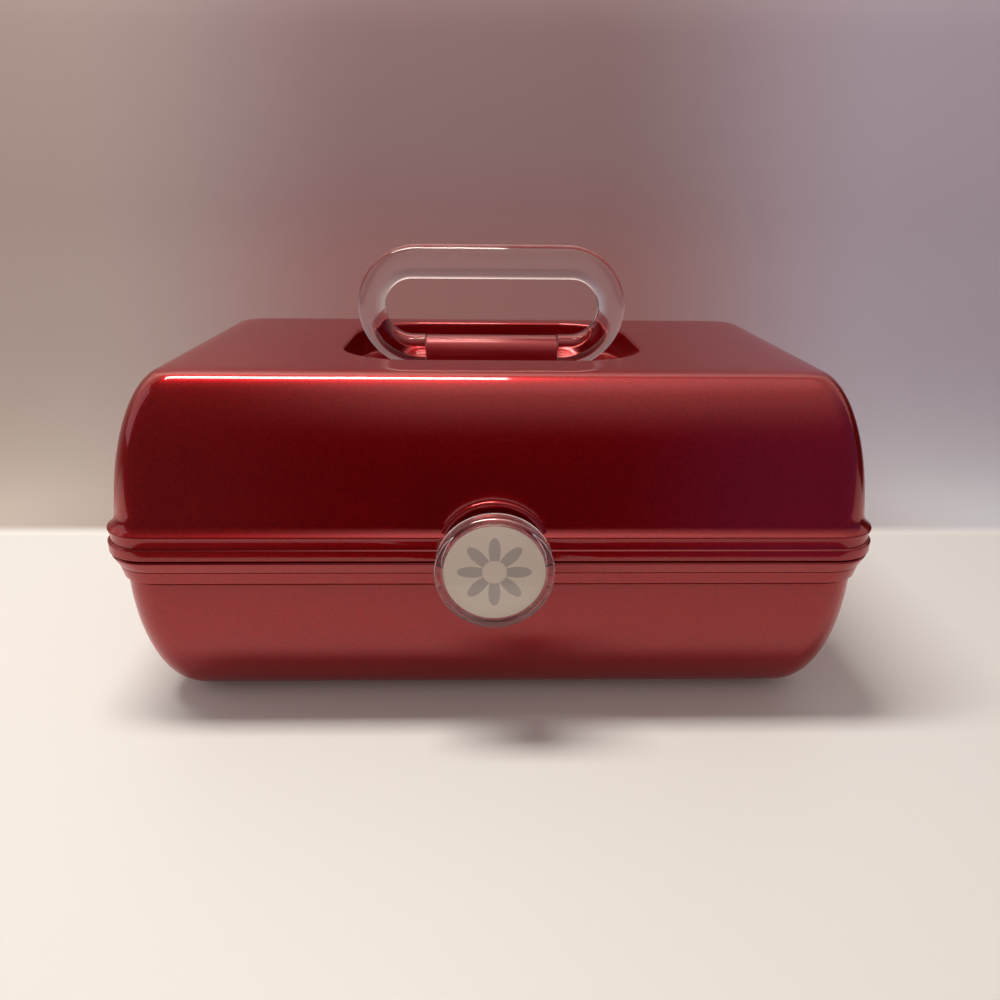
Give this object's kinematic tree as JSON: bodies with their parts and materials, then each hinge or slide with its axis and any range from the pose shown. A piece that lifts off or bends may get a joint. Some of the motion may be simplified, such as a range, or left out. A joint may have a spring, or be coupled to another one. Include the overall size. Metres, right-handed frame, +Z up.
{
  "type": "makeup storage case",
  "caption": "Two-shell moulded carry case with a folding clear handle, a round flip latch, a lid mirror and a compartment tray that lifts as the lid opens.",
  "frame": {"origin": "middle of the flat underside of the base, on the surface it stands on", "axes": "+X to the right seen from the front, +Y towards the hinges at the back, +Z up"},
  "size_m": [0.33, 0.2249, 0.1959],
  "materials": {
    "candy_red": "pearl metallic red moulded plastic, gloss",
    "barrel_red": "gloss red moulded plastic",
    "clear_plastic": "clear polished acrylic",
    "card": "matt printed card",
    "tray_plastic": "satin moulded plastic",
    "steel": "bright steel pin",
    "mirror": "silvered glass"
  },
  "bodies": {
    "base": {"base_shell": "candy_red", "hinge_pin_left": "steel", "hinge_pin_right": "steel", "arm_base_pin_left": "steel", "arm_base_pin_right": "steel"},
    "lid": {"lid_shell": "candy_red", "handle_barrel": "barrel_red", "barrel_screws": "steel", "mirror_frame": "tray_plastic", "mirror_glass": "mirror", "mirror_screws": "steel"},
    "handle": {"handle_loop": "clear_plastic"},
    "latch": {"latch_cup": "candy_red", "latch_cover": "clear_plastic", "latch_card": "card", "latch_pin": "steel"},
    "tray": {"tray": "tray_plastic", "tray_dividers": "clear_plastic", "tray_front_pin_left": "steel", "tray_front_pin_right": "steel", "tray_rear_pin_left": "steel", "tray_rear_pin_right": "steel"},
    "arm_left": {"tray_arm_left": "tray_plastic"},
    "arm_right": {"tray_arm_right": "tray_plastic"}
  },
  "joints": [
    {"name": "lid_hinge", "type": "hinge", "parent": "base", "child": "lid", "pos_m": [0, 0.1052, 0.0754], "axis": [-1, 0, 0], "range_deg": [0, 95]},
    {"name": "tray_level", "type": "hinge", "parent": "lid", "child": "tray", "pos_m": [0, 0.04611, 0.06498], "axis": [-1, 0, 0], "range_deg": [-95, 0]},
    {"name": "arm_left_swing", "type": "hinge", "parent": "base", "child": "arm_left", "pos_m": [0, 0.0403, 0.04918], "axis": [-1, 0, 0], "range_deg": [0, 95]},
    {"name": "arm_right_swing", "type": "hinge", "parent": "base", "child": "arm_right", "pos_m": [0, 0.0403, 0.04918], "axis": [-1, 0, 0], "range_deg": [0, 95]},
    {"name": "handle_fold", "type": "hinge", "parent": "lid", "child": "handle", "pos_m": [0, 0.004, 0.144], "axis": [-1, 0, 0], "range_deg": [-90, 90]},
    {"name": "latch_flip", "type": "hinge", "parent": "lid", "child": "latch", "pos_m": [0, -0.1035, 0.0903], "axis": [-1, 0, 0], "range_deg": [0, 45]}
  ],
  "couplings": [
    {"joint": "tray_level", "follows": "lid_hinge", "ratio": -1},
    {"joint": "arm_left_swing", "follows": "lid_hinge", "ratio": 1},
    {"joint": "arm_right_swing", "follows": "lid_hinge", "ratio": 1}
  ]
}
